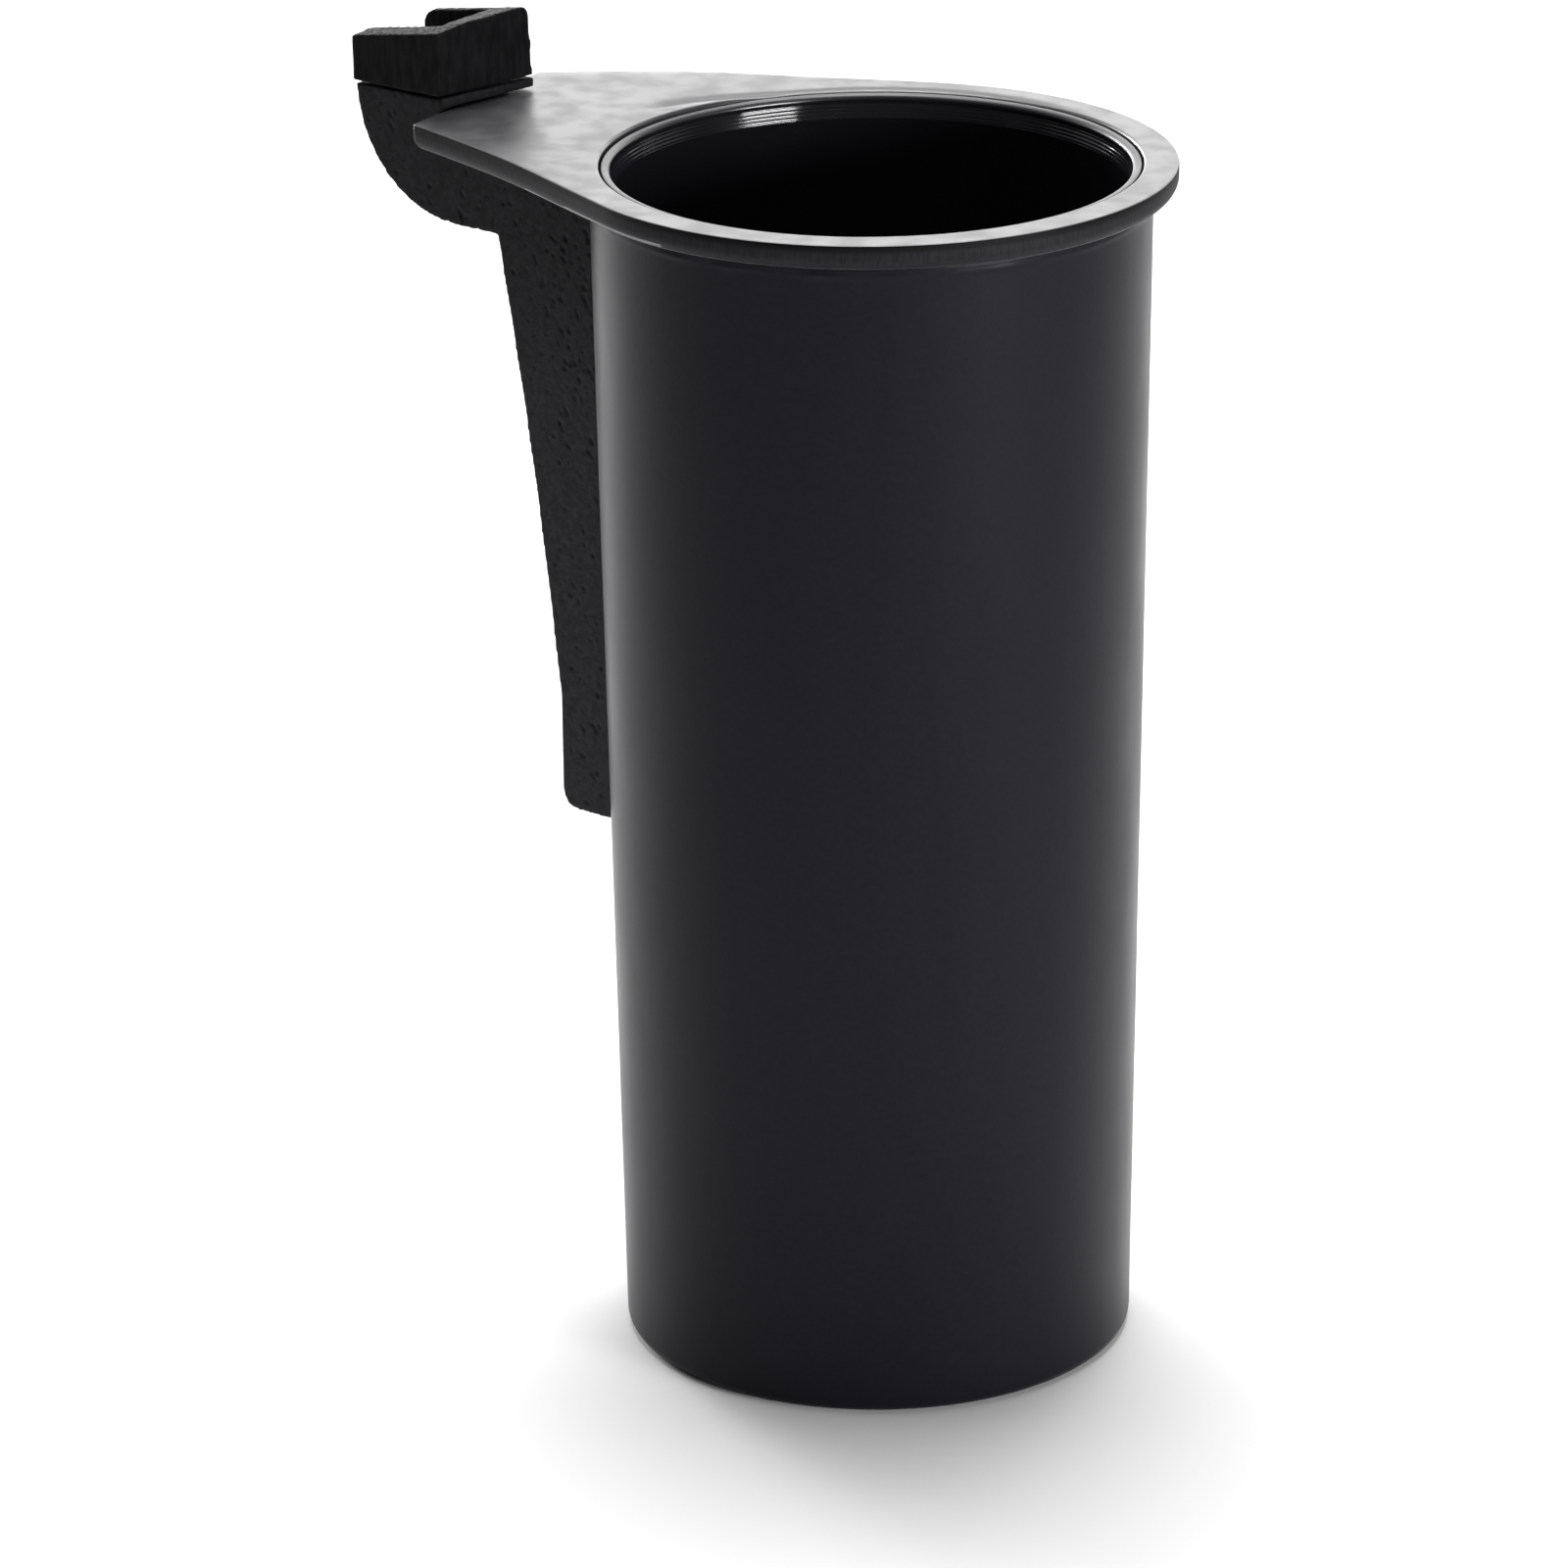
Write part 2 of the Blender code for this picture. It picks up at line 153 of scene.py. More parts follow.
# ---- view and light ----
CAMERA_PLACE = (0.4936, -0.8346, 0.4347)
CAMERA_YAW = math.radians(31.33)
CAMERA_DOWN = math.radians(20.21)
CAMERA_ROLL = -0.0109
CAMERA_LENS = 175.2
SENSOR = 36.0
WORLD_BEHIND = 3.6                        # strength low down behind the cup
WORLD_BACK = 0.35                         # strength of the rest of the far half
WORLD_FRONT = 0.05                        # strength on the camera's side
LIGHT_AIM = (0.0, 0.0, 0.09)
FLOOR_HALF = 3.0
FLOOR_DROP = 0.02 * MM
# name, azimuth and elevation in degrees, distance, size, power
LIGHTS = (
    ("light_right", 46, 8, 1.2, (0.52, 0.24), 12.5),
    ("light_left_back", -151, 2, 1.2, (0.30, 0.2), 17.0),
    ("light_above", 180, 75, 0.85, (0.5, 0.6), 9.3),
    ("light_left_small", -142, 10, 1.2, (0.36, 0.18), 5.0),
)


# ---- mesh helpers ----
def new_piece(name, bm, body, node, material, sharp_angle=32.0):
    """Turns a bmesh into a piece that rides on a body and stands for a CAD node."""
    mesh = bpy.data.meshes.new(name)
    bmesh.ops.recalc_face_normals(bm, faces=bm.faces)
    bm.to_mesh(mesh)
    bm.free()
    mesh.shade_smooth()
    mesh.set_sharp_from_angle(angle=math.radians(sharp_angle))
    mesh.materials.append(material)
    piece = bpy.data.objects.new(name, mesh)
    bpy.context.scene.collection.objects.link(piece)
    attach(piece, body)
    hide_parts(node)
    return piece


def arc(centre, radius, start, end, steps):
    """Points on a circle from angle start to angle end, in degrees, both ends included."""
    angles = [math.radians(start + (end - start) * i / steps) for i in range(steps + 1)]
    return [(centre[0] + radius * math.cos(a), centre[1] + radius * math.sin(a)) for a in angles]


def line(start, end, steps):
    """Points from start to end, without start and with end."""
    shares = [i / steps for i in range(1, steps + 1)]
    return [(start[0] + (end[0] - start[0]) * s, start[1] + (end[1] - start[1]) * s) for s in shares]


def smoothstep(low, high, value):
    """Smooth rise from 0 at low to 1 at high; low may be the larger of the two."""
    share = min(1.0, max(0.0, (value - low) / (high - low)))
    return share * share * (3.0 - 2.0 * share)


def bridge(bm, first, second):
    """Faces between two rings of vertices; a ring of one vertex closes the end."""
    count = max(len(first), len(second))
    for i in range(count):
        j = (i + 1) % count
        if len(first) == 1:
            bm.faces.new((first[0], second[j], second[i]))
        elif len(second) == 1:
            bm.faces.new((first[i], first[j], second[0]))
        else:
            bm.faces.new((first[i], first[j], second[j], second[i]))


def turned(profile, segments, swell=None):
    """Solid of revolution about Z. swell(angle, radius, height) adds to the radius."""
    bm = bmesh.new()
    rings = []
    for radius, height in profile:
        if radius == 0.0:
            rings.append([bm.verts.new((0.0, 0.0, height))])
            continue
        ring = []
        for i in range(segments):
            a = math.tau * i / segments
            r = radius + (swell(a, radius, height) if swell else 0.0)
            ring.append(bm.verts.new((r * math.cos(a), r * math.sin(a), height)))
        rings.append(ring)
    for low, high in zip(rings, rings[1:]):
        bridge(bm, low, high)
    return bm


def ripple(point, size, seed):
    """Smooth noise from -1 to 1 whose features are about one size across."""
    return noise.noise(Vector(point) / size + Vector((seed, seed * 1.7, seed * 0.3)))


# ---- pot and inner cup ----
def pot_swell(angle, radius, height):
    """Slight waviness of the moulded wall, and an uneven bead under the plate."""
    x, y = math.cos(angle), math.sin(angle)
    wave = POT_WAVE * ripple((x * 30 * MM, y * 30 * MM, height * 0.8), 14 * MM, 3.0)
    bead = POT_BEAD * math.exp(-((height - POT_TOP + POT_BEAD_DROP) / POT_BEAD_HALF) ** 2)
    bead *= 0.6 + ripple((x * 34 * MM, y * 34 * MM, 0.0), 2.5 * MM, 9.0)
    outside = 1.0 if radius > POT_R_BASE - POT_WALL * 0.5 and height > POT_FOOT else 0.0
    return outside * (wave + bead)


def build_pot(material):
    """Tapered shell with a hollow underside, a rounded foot and a nearly upright neck."""
    hollow_r, rest_r = (POT_R_BASE * share for share in POT_HOLLOW_SHARES)
    neck = (POT_R_TOP - POT_NECK_IN, POT_TOP - POT_NECK)
    rim_r = POT_R_TOP - POT_RIM_IN
    rim_z = POT_TOP - POT_EDGE
    profile = [(0.0, POT_HOLLOW), (hollow_r, POT_HOLLOW), (rest_r, 0.0)]
    profile += arc((POT_R_BASE - POT_FOOT, POT_FOOT), POT_FOOT, -90, 0, 10)
    profile += line((POT_R_BASE, POT_FOOT), neck, 70)
    profile += line(neck, (rim_r, rim_z), 12)
    profile += arc((rim_r - POT_EDGE, rim_z), POT_EDGE, 0, 90, 4)[1:]
    profile += arc((POT_R_TOP - POT_WALL + POT_EDGE, rim_z), POT_EDGE, 90, 180, 4)
    profile += line(profile[-1], (POT_R_BASE - POT_WALL, POT_FLOOR), 30)
    profile += [(0.0, POT_FLOOR)]
    bm = turned(profile, ROUND_STEPS, pot_swell)
    return new_piece("pot_shell", bm, "holder", "outer_pot", material)


def cup_band(drop):
    """How far the liner's wall has come inwards at a drop below the lip: a sloping band with ridges."""
    share = (drop - CUP_BAND_TOP) / CUP_BAND_TALL
    ridges = CUP_RIDGE * math.sin(share * CUP_RIDGES * math.tau) if 0.0 < share < 1.0 else 0.0
    return CUP_BAND_IN * min(1.0, max(0.0, share)) + ridges


def build_cup(material):
    """Glossy liner with a rounded lip, the band below it and a rounded floor."""
    base = CUP_LOW.z
    inner = CUP_R_TOP - CUP_WALL
    inner_base = CUP_R_BASE - CUP_WALL
    profile = [(0.0, base)]
    profile += arc((CUP_R_BASE - CUP_FOOT, base + CUP_FOOT), CUP_FOOT, -90, 0, 10)
    profile += line(profile[-1], (CUP_R_TOP, CUP_TOP - CUP_LIP), 40)
    profile += arc((CUP_R_TOP - CUP_LIP, CUP_TOP - CUP_LIP), CUP_LIP, 0, 90, 4)[1:]
    profile += arc((inner + CUP_LIP_IN, CUP_TOP - CUP_LIP_IN), CUP_LIP_IN, 90, 180, 6)
    band_drop = CUP_BAND_TOP + CUP_BAND_TALL + CUP_BAND_TAIL - CUP_LIP_IN
    for step in range(1, CUP_BAND_STEPS + 1):
        drop = CUP_LIP_IN + band_drop * step / CUP_BAND_STEPS
        profile.append((inner - cup_band(drop), CUP_TOP - drop))
    bowl = CUP_FOOT - CUP_WALL
    low = base + CUP_FLOOR
    profile += line(profile[-1], (inner_base, low + bowl), 40)
    profile += arc((inner_base - bowl, low + bowl), bowl, 0, -90, 8)[1:]
    profile += [(inner_base * 0.4, low), (0.0, low)]
    bm = turned(profile, ROUND_STEPS)
    return new_piece("cup_liner", bm, "liner", "inner_cup", material)


# ---- plate ----
def plate_half(side_r, inset):
    """Half of the teardrop outline, from the mouth side to the tip; a negative side_r is hollow."""
    bend = math.copysign(1.0, side_r)
    reach = side_r - PLATE_R
    tip = Vector((PLATE_TIP, PLATE_TIP_HALF))
    aim = (side_r ** 2 - tip.length_squared - reach ** 2) / (2.0 * reach * tip.length)
    join = math.atan2(tip.y, tip.x) + math.acos(aim)
    centre = (-reach * math.cos(join), -reach * math.sin(join))
    turn = math.degrees(join)
    across = PLATE_TIP - PLATE_TIP_ROUND - centre[0]
    along = bend * math.sqrt((side_r - PLATE_TIP_ROUND) ** 2 - across ** 2)
    corner_dir = math.degrees(math.atan2(bend * along, bend * across))
    corner_r = max(PLATE_TIP_ROUND - inset, 0.02 * MM)
    past = max(0.0, inset - PLATE_TIP_ROUND)
    end = PLATE_TIP - PLATE_TIP_ROUND + corner_r - past
    side_y = centre[1] + along - past
    half = arc((0.0, 0.0), PLATE_R - inset, 180.0, turn, 76)
    half += arc(centre, side_r - inset, turn, corner_dir, 40)[1:-1]
    half += arc((end - corner_r, side_y), corner_r, corner_dir, 0.0, 7)
    return half + line((end, side_y), (end, 0.0), 14)


def plate_outline(inset):
    """Teardrop outline moved inwards by inset, anticlockwise from the mouth side, as (x, y)."""
    near = plate_half(PLATE_NEAR_R, inset)
    far = [(x, -y) for x, y in reversed(plate_half(PLATE_FAR_R, inset)[1:-1])]
    return [(-x, -y) for x, y in near + far]


def plate_rise(outward):
    """How far the plate has risen at a distance outwards from the pot's axis."""
    return PLATE_RISE * smoothstep(*PLATE_RISE_SPAN, outward)


def top_height(x, y):
    """Height of the plate's top: level but slightly uneven, with a shallow dip on the far side.

    The dip starts beside the mouth on the far side and runs outwards towards the tip.
    """
    turn = math.degrees(math.atan2(y, x))
    depth = PLATE_DIP * smoothstep(*PLATE_DIP_START, turn) * (1.0 - smoothstep(*PLATE_DIP_END, turn))
    start, end = PLATE_DIP_R
    middle = start + (end - start) * smoothstep(*PLATE_DIP_DRIFT, turn)
    dip = depth * math.exp(-((math.hypot(x, y) - middle) / PLATE_DIP_HALF) ** 2)
    uneven = PLATE_UNEVEN * ripple((x, y, 0.0), 7 * MM, 5.0)
    return HEIGHT + plate_rise(-x) - dip + uneven


def top_vert(bm, rim_point, radius, share, drop=0.0):
    """Vertex drop below the top face, share of the way from a radius out to a point of the rim."""
    rim = Vector((rim_point.x, rim_point.y))
    place = rim.normalized() * radius
    place = place.lerp(rim, share)
    return bm.verts.new((place.x, place.y, top_height(place.x, place.y) - drop))


def build_plate(material, edge_material):
    """Teardrop plate: rings from the lower edge up the side, over the face and down into the mouth."""
    edge_z = HEIGHT - PLATE_TOP_EDGE
    low_edge = arc((-PLATE_LOW_EDGE, PLATE_UNDER + PLATE_LOW_EDGE), PLATE_LOW_EDGE, -90, 0, 9)
    upright = line((0.0, PLATE_UNDER + PLATE_LOW_EDGE), (0.0, edge_z), 4)
    top_edge = arc((-PLATE_TOP_EDGE, edge_z), PLATE_TOP_EDGE, 0, 90, 4)[1:]
    bm = bmesh.new()
    rings = []
    for inward, z in low_edge + upright + top_edge:
        points = plate_outline(-inward)
        rings.append([bm.verts.new((x, y, z + plate_rise(-x))) for x, y in points])
    rim = [v.co.copy() for v in rings[-1]]
    lip_r = PLATE_HOLE_R + PLATE_LIP_WIDE
    reaches = [PLATE_RING_FIRST + PLATE_RING_STEP * i for i in reversed(range(PLATE_RING_COUNT))]
    for share in PLATE_RING_SHARES:
        rings.append([top_vert(bm, p, lip_r + reaches[0], share) for p in rim])
    for reach in reaches:
        rings.append([top_vert(bm, p, lip_r + reach, 0.0) for p in rim])
    for share in PLATE_LIP_SHARES:
        radius = lip_r - PLATE_LIP_WIDE * share
        rings.append([top_vert(bm, p, radius, 0.0, PLATE_LIP * share * share) for p in rim])
    hole_low = (PLATE_HOLE_R, PLATE_UNDER + PLATE_HOLE_EDGE)
    hole_end = (PLATE_HOLE_R + PLATE_HOLE_EDGE, PLATE_UNDER)
    for radius, z in (hole_low, hole_end):
        plans = [Vector((p.x, p.y)).normalized() * radius for p in rim]
        rings.append([bm.verts.new((plan.x, plan.y, z)) for plan in plans])
    for first, second in zip(rings, rings[1:] + rings[:1]):
        bridge(bm, first, second)
    for face in bm.faces:
        face.material_index = 1 if on_cut_side(face) else 0
    piece = new_piece("plate_top", bm, "holder", "top_plate", material, 28.0)
    piece.data.materials.append(edge_material)
    return piece


def on_cut_side(face):
    """Whether a face belongs to the plate's dull outer side, above the rounded lower edge."""
    face.normal_update()
    middle = face.calc_center_median()
    line_share = PLATE_LINE_TIP if middle.x < PLATE_LINE_X else PLATE_LINE_ROUND
    steep = abs(face.normal.z) < PLATE_SIDE_SLOPE
    above = middle.z > PLATE_UNDER + PLATE_LOW_EDGE * line_share
    outside = middle.xy.length > PLATE_HOLE_R + PLATE_SIDE_FROM
    return steep and above and outside


# ---- bracket and jaw ----
def remeshed(node, voxel, smooth_steps):
    """A fine, closed bmesh of a CAD node with softly rounded edges."""
    bm = bmesh.new()
    bm.from_mesh(frame_mesh(node))
    bmesh.ops.remove_doubles(bm, verts=bm.verts, dist=0.005 * MM)
    mesh = bpy.data.meshes.new("rough")
    bm.to_mesh(mesh)
    bm.free()
    rough = bpy.data.objects.new("rough", mesh)
    bpy.context.scene.collection.objects.link(rough)
    fine = rough.modifiers.new("fine", "REMESH")
    fine.mode = "VOXEL"
    fine.voxel_size = voxel
    relax = rough.modifiers.new("relax", "SMOOTH")
    relax.factor = 0.5
    relax.iterations = smooth_steps
    bpy.context.view_layer.update()
    result = bmesh.new()
    result.from_object(rough, bpy.context.evaluated_depsgraph_get())
    bpy.data.objects.remove(rough)
    bpy.data.meshes.remove(mesh)
    return result


def frame_mesh(node):
    """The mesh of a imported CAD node, which is only read."""
    return bpy.data.objects[node].data


def roughen(bm, depth_at):
    """Moves each vertex along its normal by depth_at(place, normal)."""
    bm.normal_update()
    moves = [(v, v.normal * depth_at(v.co, v.normal)) for v in bm.verts]
    for vert, move in moves:
        vert.co += move


def pits(place, normal):
    """Moulding pits in the bracket, more of them at the top of the rib and beside the pot."""
    crowd = 0.5 * smoothstep(*PIT_HEIGHTS, place.z)
    crowd += 0.5 * smoothstep(*PIT_RADII, Vector((place.x, place.y)).length)
    slant = Vector((place.x + place.z * 0.35, place.y, place.z * 0.75 + place.x * 0.35))
    speck = ripple(slant, PIT_SIZE, 2.0)
    start, full = (edge - crowd * fall for edge, fall in zip(PIT_EDGE, PIT_CROWD))
    return BRACKET_UNEVEN * ripple(place, 3.0 * MM, 7.0) - PIT_DEPTH * smoothstep(start, full, speck)


def build_bracket(material):
    """Arm and rib in one piece, with softened edges and a pitted face."""
    bm = remeshed("bracket", BRACKET_VOXEL, 1)
    roughen(bm, pits)
    return new_piece("bracket_arm", bm, "holder", "bracket", material, 60.0)


def rubber(place, normal):
    """Uneven rubber: soft dents, and ragged top edges."""
    dents = JAW_DENT * ripple(place, 2.2 * MM, 4.0)
    streaks = JAW_STREAK * ripple((place.x, place.y, place.z * 0.25), 0.8 * MM, 6.0)
    crumbs = JAW_CRUMB * ripple(place, 0.6 * MM, 8.0) * smoothstep(0.3, 0.8, normal.z)
    return dents + streaks + crumbs


def build_jaw(material):
    """Three-walled rubber block, open at the back."""
    bm = remeshed("jaw_pad", JAW_VOXEL, 3)
    roughen(bm, rubber)
    return new_piece("jaw_block", bm, "holder", "jaw_pad", material, 60.0)


# ---- screws ----
def build_screw(node, material):
    """Countersunk screw with a threaded shank and a cross recess, head towards the pot's axis."""
    low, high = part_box(node)
    centre_z = (low.z + high.z) / 2.0
    outward = Vector((math.cos(SCREW_ANGLE), math.sin(SCREW_ANGLE), 0.0))
    middle = Vector(((low.x + high.x) / 2.0, (low.y + high.y) / 2.0, centre_z))
    length = (high.x - low.x) / abs(outward.x) * 0.97
    cone = (SCREW_HEAD_R - SCREW_R) * 0.7
    core = SCREW_R * SCREW_CORE
    floor_r, wall_r = SCREW_RECESS_R
    profile = [(0.0, SCREW_RECESS), (floor_r, SCREW_RECESS - 0.05 * MM), (wall_r, 0.05 * MM)]
    profile += [(SCREW_HEAD_R - SCREW_HEAD_EDGE, 0.0), (SCREW_HEAD_R, SCREW_HEAD_EDGE), (SCREW_R, cone)]
    turns = int((length - cone - SCREW_R * 1.6) / SCREW_PITCH)
    for turn in range(turns):
        z = cone + 0.2 * MM + turn * SCREW_PITCH
        profile += [(core, z), (SCREW_R, z + SCREW_PITCH * 0.4)]
        profile += [(SCREW_R, z + SCREW_PITCH * 0.55), (core, z + SCREW_PITCH * 0.9)]
    profile += [(SCREW_R * 0.3, length - 0.2 * MM), (0.0, length)]

    def cross(angle, radius, height):
        """Pulls the recess in between the four arms of the cross."""
        recess = 0.02 * MM < height < SCREW_RECESS + 0.01 * MM and radius < wall_r + 0.05 * MM
        return -SCREW_CROSS * radius * (0.5 - 0.5 * math.cos(4.0 * angle)) if recess else 0.0

    bm = turned(profile, 48, cross)
    turn = Matrix.Rotation(SCREW_ANGLE, 4, "Z") @ Matrix.Rotation(math.radians(90.0), 4, "Y")
    place = Matrix.Translation(middle - outward * length / 2.0)
    bmesh.ops.transform(bm, matrix=place @ turn, verts=bm.verts)
    return new_piece(node + "_fine", bm, "holder", node, material)


# ---- materials ----
class Nodes:
    """Shader nodes that are added and linked one at a time."""

    def __init__(self, tree):
        self.tree = tree

    def node(self, kind, **settings):
        made = self.tree.nodes.new(kind)
        for key, value in settings.items():
            setattr(made, key, value)
        return made

    def link(self, source, target):
        self.tree.links.new(source, target)

    def axis(self, vector, name):
        """One of X, Y and Z of a vector."""
        parts = self.node("ShaderNodeSeparateXYZ")
        self.link(vector, parts.inputs["Vector"])
        return parts.outputs[name]

    def ranged(self, value, low, high, to_low, to_high):
        """Maps a value from low..high to to_low..to_high, smoothly and clamped."""
        made = self.node("ShaderNodeMapRange", interpolation_type="SMOOTHSTEP")
        for name, number in zip(("From Min", "From Max", "To Min", "To Max"), (low, high, to_low, to_high)):
            made.inputs[name].default_value = number
        self.link(value, made.inputs["Value"])
        return made.outputs["Result"]

    def maths(self, operation, first, second):
        made = self.node("ShaderNodeMath", operation=operation)
        self.link(first, made.inputs[0])
        self.link(second, made.inputs[1])
        return made.outputs["Value"]


class Look(Nodes):
    """A node material."""

    def __init__(self, name, colour, roughness, specular, tint=(1.0, 1.0, 1.0)):
        self.material = bpy.data.materials.new(name)
        self.material.use_nodes = True
        super().__init__(self.material.node_tree)
        self.shader = self.tree.nodes["Principled BSDF"]
        self.shader.inputs["Base Color"].default_value = (*colour, 1.0)
        self.shader.inputs["Roughness"].default_value = roughness
        self.shader.inputs["Specular IOR Level"].default_value = specular
        self.shader.inputs["Specular Tint"].default_value = (*tint, 1.0)
        self.place = self.node("ShaderNodeTexCoord").outputs["Object"]

    def noise(self, size, detail=2.0, stretch=(1.0, 1.0, 1.0)):
        """Noise with features about one size across, stretched along each axis."""
        mapping = self.node("ShaderNodeMapping")
        mapping.inputs["Scale"].default_value = [1.0 / (size * s) for s in stretch]
        self.link(self.place, mapping.inputs["Vector"])
        texture = self.node("ShaderNodeTexNoise")
        texture.inputs["Scale"].default_value = 1.0
        texture.inputs["Detail"].default_value = detail
        self.link(mapping.outputs["Vector"], texture.inputs["Vector"])
        return texture.outputs["Fac"]

    def spread(self, value):
        """Stretches the middle of a noise's range to 0..1."""
        return self.ranged(value, 0.3, 0.7, 0.0, 1.0)

    def height_share(self, low, high):
        """0 at the height low and 1 at the height high, which may be the lower one."""
        return self.ranged(self.axis(self.place, "Z"), low, high, 0.0, 1.0)

    def colours(self, factor, first, second):
        """Mixes two colours by a factor; a colour is three numbers or another output."""
        made = self.node("ShaderNodeMix", data_type="RGBA")
        self.link(factor, made.inputs["Factor"])
        for name, colour in (("A", first), ("B", second)):
            socket = [s for s in made.inputs if s.name == name and s.type == "RGBA"][0]
            if isinstance(colour, tuple):
                socket.default_value = (*colour, 1.0)
            else:
                self.link(colour, socket)
        return [s for s in made.outputs if s.type == "RGBA"][0]

    def bump(self, height, distance):
        made = self.node("ShaderNodeBump")
        made.inputs["Strength"].default_value = 1.0
        made.inputs["Distance"].default_value = distance
        self.link(height, made.inputs["Height"])
        self.link(made.outputs["Normal"], self.shader.inputs["Normal"])


def pot_satin():
    """Dark satin paint, a little bluish, with a fine grain."""
    look = Look("pot_satin_fine", (0.012, 0.012, 0.0155), 0.33, 0.09, (0.88, 0.88, 1.0))
    grain = look.noise(0.35 * MM, 3.0)
    drift = look.noise(9 * MM, 2.0, (1.0, 1.0, 2.5))
    look.link(look.ranged(drift, 0.3, 0.7, 0.30, 0.36), look.shader.inputs["Roughness"])
    tone = look.colours(look.noise(0.7 * MM, 4.0), (0.0060, 0.0060, 0.0082), (0.0100, 0.0100, 0.0130))
    look.link(tone, look.shader.inputs["Base Color"])
    look.bump(grain, 0.012 * MM)
    return look.material


def plate_satin():
    """Worn satin face of the plate, with patches of different shine."""
    look = Look("plate_satin_fine", (0.016, 0.016, 0.019), 0.46, 1.0)
    patches = look.noise(5 * MM, 4.0)
    look.link(look.ranged(patches, 0.35, 0.7, 0.38, 0.48), look.shader.inputs["Roughness"])
    look.bump(look.noise(0.30 * MM, 3.0), 0.008 * MM)
    return look.material


def plate_edge():
    """The cut side of the plate: dull, with fine upright marks, and painted shade: a near-black line along
    the top of the side.
    """
    look = Look("plate_edge_fine", (0.012, 0.012, 0.014), 0.55, 0.10)
    marks = look.noise(0.35 * MM, 3.0, (1.0, 1.0, 6.0))
    lower = look.colours(look.spread(marks), (0.0085, 0.0085, 0.0105), (0.0150, 0.0150, 0.0178))
    # painted shade: near-black colour on the top of the cut side, blending in from 1.3 mm to 0.5 mm below
    # the face, in place of the rounded edge's dark reflection
    upward = look.height_share(HEIGHT - 1.3 * MM, HEIGHT - 0.5 * MM)
    tone = look.colours(upward, lower, (0.0020, 0.0020, 0.0026))
    look.link(tone, look.shader.inputs["Base Color"])
    look.bump(marks, 0.03 * MM)
    return look.material


def liner_gloss():
    """Glossy black plastic, dull where the lip is worn, with painted light: lighter further down inside the
    cup.
    """
    look = Look("liner_gloss_fine", (0.012, 0.0115, 0.015), 0.12, 0.70)
    smears = look.noise(8 * MM, 3.0, (1.0, 1.0, 0.3))
    # painted light: the liner's colour brightens from 10 mm to 40 mm below the lip, so the inside of the
    # cup is lighter further down
    painted_light_deeper = look.height_share(CUP_TOP - 10.0 * MM, CUP_TOP - 40.0 * MM)
    tone = look.colours(painted_light_deeper, (0.010, 0.0098, 0.0125), (0.017, 0.0165, 0.021))
    look.link(tone, look.shader.inputs["Base Color"])
    height = look.axis(look.place, "Z")
    worn_lip = look.ranged(height, CUP_TOP - 0.8 * MM, CUP_TOP - 0.3 * MM, 0.0, 0.34)
    roughness = look.maths("ADD", look.ranged(smears, 0.35, 0.7, 0.09, 0.15), worn_lip)
    look.link(roughness, look.shader.inputs["Roughness"])
    look.bump(look.noise(1.2 * MM, 2.0), 0.006 * MM)
    return look.material


def bracket_matt():
    """Matt filled plastic, mottled, darker on the arm than low on the rib."""
    look = Look("bracket_matt_fine", (0.012, 0.0115, 0.0145), 0.60, 0.12)
    mottle = look.spread(look.noise(0.9 * MM, 5.0))
    arm = look.colours(mottle, (0.0048, 0.0046, 0.0058), (0.0112, 0.0108, 0.0134))
    rib = look.colours(mottle, (0.0115, 0.0112, 0.0138), (0.0235, 0.0230, 0.0270))
    low_down = look.height_share(152 * MM, 125 * MM)
    look.link(look.colours(low_down, arm, rib), look.shader.inputs["Base Color"])
    look.bump(look.noise(0.45 * MM, 4.0), 0.05 * MM)
    return look.material


def jaw_rubber():
    """Dull black rubber with upright streaks, and pale dust on the tops of the walls."""
    look = Look("jaw_rubber_fine", (0.014, 0.014, 0.015), 0.80, 0.08)
    streaks = look.noise(0.9 * MM, 4.0, (1.0, 1.0, 4.0))
    tone = look.colours(look.spread(streaks), (0.0030, 0.0030, 0.0036), (0.0080, 0.0080, 0.0090))
    normal = look.node("ShaderNodeNewGeometry").outputs["Normal"]
    upward = look.ranged(look.axis(normal, "Z"), 0.70, 0.95, 0.0, 1.0)
    high = look.height_share(JAW_LOW.z + 3.5 * MM, JAW_LOW.z + 4.5 * MM)
    speckle = look.ranged(look.noise(0.5 * MM, 6.0), 0.42, 0.62, 0.06, 1.0)
    dust = look.maths("MULTIPLY", look.maths("MULTIPLY", upward, high), speckle)
    look.link(look.colours(dust, tone, (0.050, 0.050, 0.049)), look.shader.inputs["Base Color"])
    look.link(look.ranged(dust, 0.0, 1.0, 0.80, 0.65), look.shader.inputs["Roughness"])
    look.bump(look.noise(0.4 * MM, 4.0), 0.06 * MM)
    return look.material


def screw_steel():
    """Plain steel with a slightly uneven shine."""
    look = Look("screw_steel_fine", (0.42, 0.42, 0.43), 0.35, 0.50)
    look.shader.inputs["Metallic"].default_value = 1.0
    look.link(look.ranged(look.noise(0.5 * MM, 3.0), 0.3, 0.7, 0.25, 0.45), look.shader.inputs["Roughness"])
    look.bump(look.noise(0.2 * MM, 2.0), 0.004 * MM)
    return look.material


# ---- studio ----
def build_floor():
    """Plain white floor just under the pot."""
    bm = bmesh.new()
    bmesh.ops.create_grid(bm, x_segments=2, y_segments=2, size=FLOOR_HALF)
    mesh = bpy.data.meshes.new("floor")
    bm.to_mesh(mesh)
    bm.free()
    floor = bpy.data.objects.new("floor", mesh)
    floor.location.z = -FLOOR_DROP
    bpy.context.scene.collection.objects.link(floor)
    look = Look("floor_white", (0.93, 0.93, 0.93), 0.9, 0.0)
    mesh.materials.append(look.material)


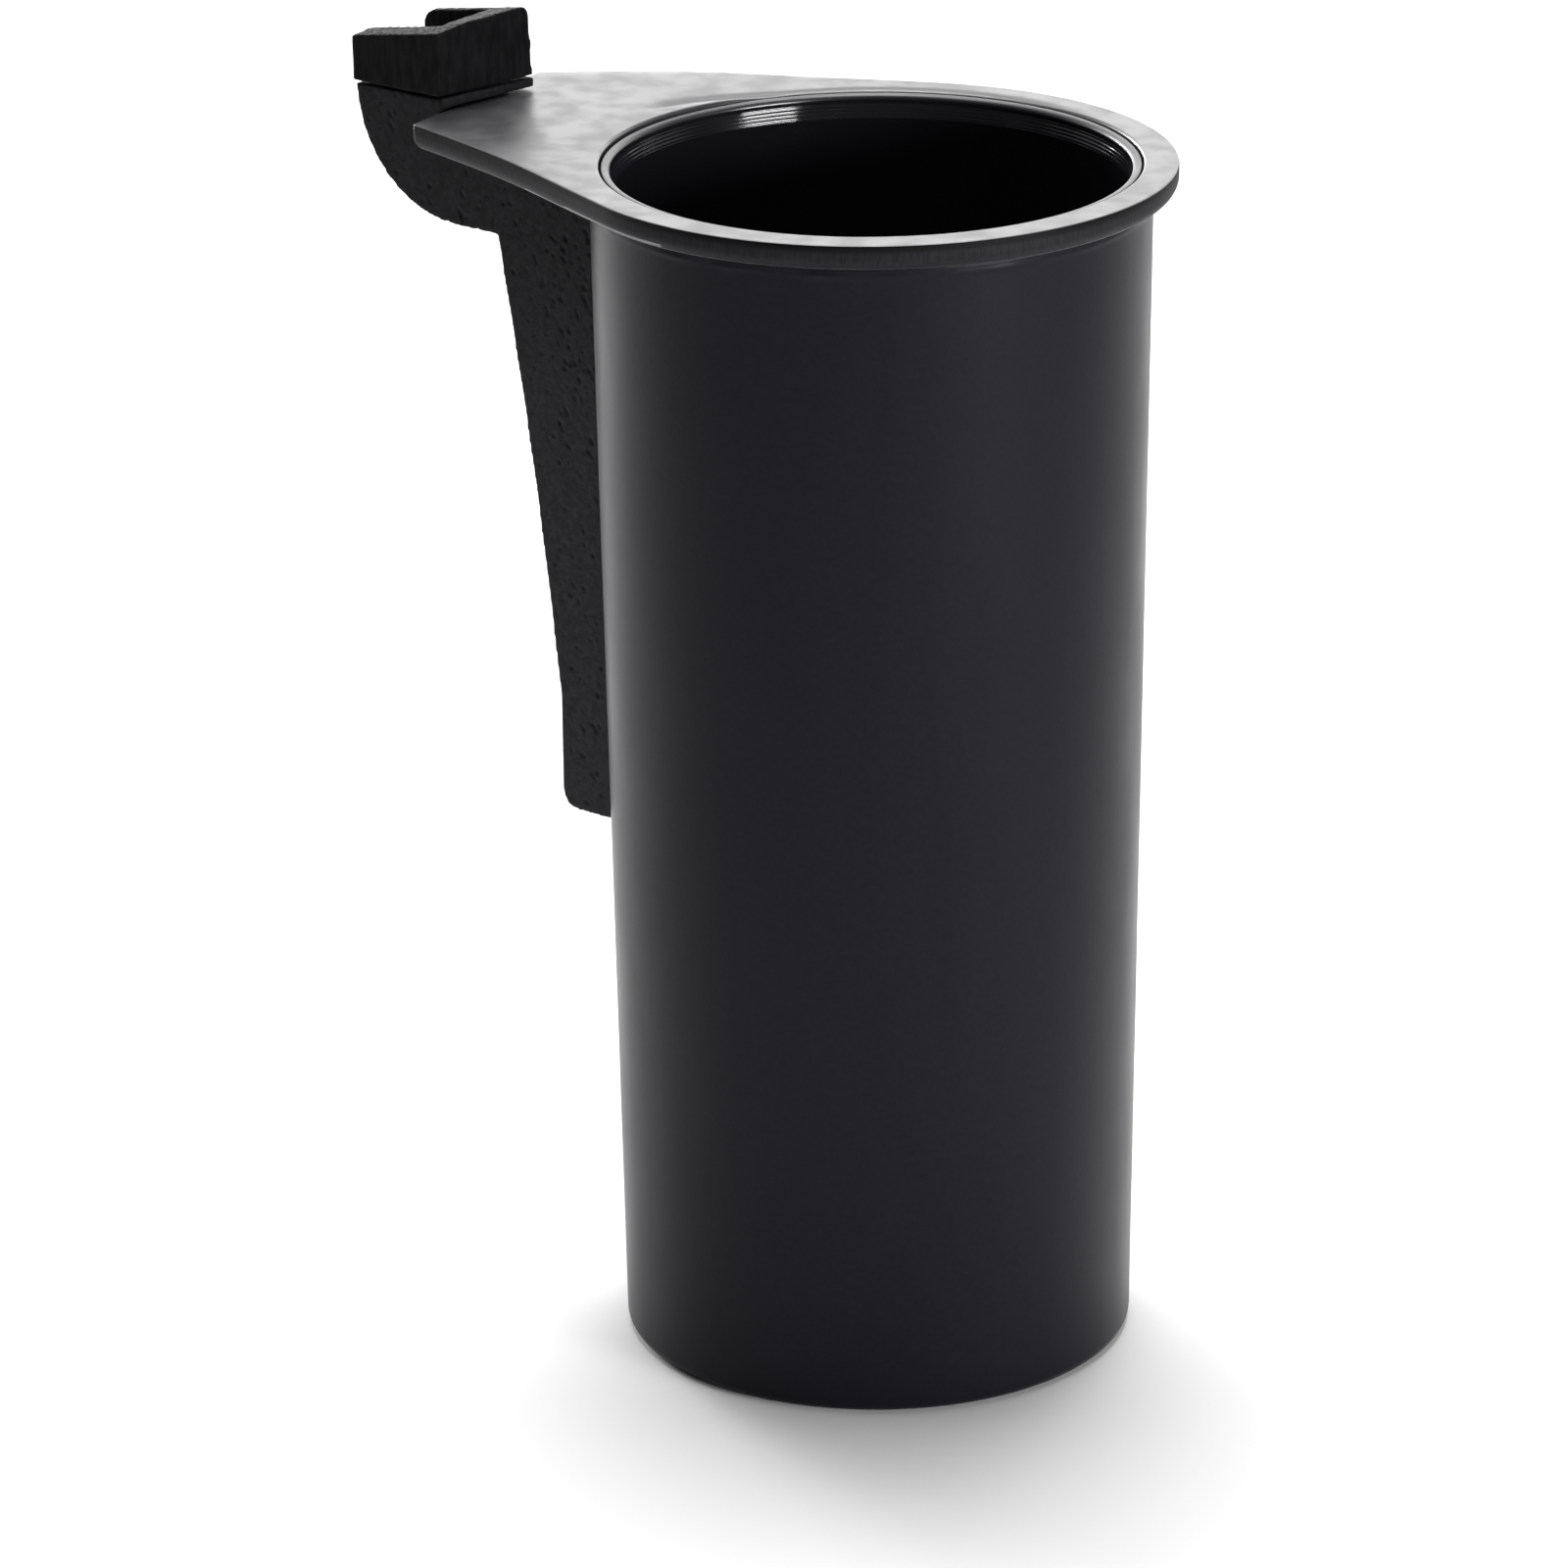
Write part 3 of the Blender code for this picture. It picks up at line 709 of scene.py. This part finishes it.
def area_light(name, azimuth, elevation, distance, size, power):
    """Softbox that faces the cup. Azimuth is from the camera's side, positive to the camera's right."""
    light = bpy.data.lights.new(name, "AREA")
    light.shape = "RECTANGLE"
    light.size, light.size_y = size
    light.energy = power
    lamp = bpy.data.objects.new(name, light)
    turn = CAMERA_YAW + math.radians(azimuth)
    up = math.radians(elevation)
    away = Vector((math.sin(turn) * math.cos(up), -math.cos(turn) * math.cos(up), math.sin(up)))
    lamp.location = Vector(LIGHT_AIM) + away * distance
    lamp.rotation_euler = away.to_track_quat("Z", "Y").to_euler()
    bpy.context.scene.collection.objects.link(lamp)


def build_world():
    """White surroundings, brightest low down behind the cup, dim on the camera's side."""
    world = bpy.data.worlds.new("studio")
    bpy.context.scene.world = world
    world.use_nodes = True
    background = world.node_tree.nodes["Background"]
    background.inputs["Color"].default_value = (1.0, 1.0, 1.0, 1.0)
    nodes = Nodes(world.node_tree)
    direction = nodes.node("ShaderNodeTexCoord").outputs["Generated"]
    dot = nodes.node("ShaderNodeVectorMath", operation="DOT_PRODUCT")
    dot.inputs[1].default_value = (-math.sin(CAMERA_YAW), math.cos(CAMERA_YAW), 0.0)
    nodes.link(direction, dot.inputs[0])
    behind = dot.outputs["Value"]
    low_down = nodes.ranged(nodes.axis(direction, "Z"), 0.40, 0.58, 1.0, 0.0)
    far_side = nodes.ranged(behind, 0.50, 0.85, 0.0, WORLD_BEHIND)
    dome = nodes.ranged(behind, -0.15, 0.25, WORLD_FRONT, WORLD_BACK)
    total = nodes.maths("ADD", nodes.maths("MULTIPLY", low_down, far_side), dome)
    nodes.link(total, background.inputs["Strength"])


def build_camera():
    camera = bpy.data.cameras.new("camera")
    camera.lens = CAMERA_LENS
    camera.sensor_width = SENSOR
    viewer = bpy.data.objects.new("camera", camera)
    turn = Matrix.Rotation(CAMERA_YAW, 4, "Z") @ Matrix.Rotation(math.pi / 2 - CAMERA_DOWN, 4, "X")
    viewer.matrix_world = Matrix.Translation(CAMERA_PLACE) @ turn @ Matrix.Rotation(CAMERA_ROLL, 4, "Z")
    bpy.context.scene.collection.objects.link(viewer)
    bpy.context.scene.camera = viewer


def build_studio():
    bpy.context.scene.view_settings.view_transform = "Standard"
    build_floor()
    build_world()
    for settings in LIGHTS:
        area_light(*settings)
    build_camera()


# ---- build ----
build_pot(pot_satin())
build_cup(liner_gloss())
build_plate(plate_satin(), plate_edge())
build_bracket(bracket_matt())
build_jaw(jaw_rubber())
steel = screw_steel()
for screw in ("bracket_screw_lower", "bracket_screw_upper"):
    build_screw(screw, steel)
build_studio()
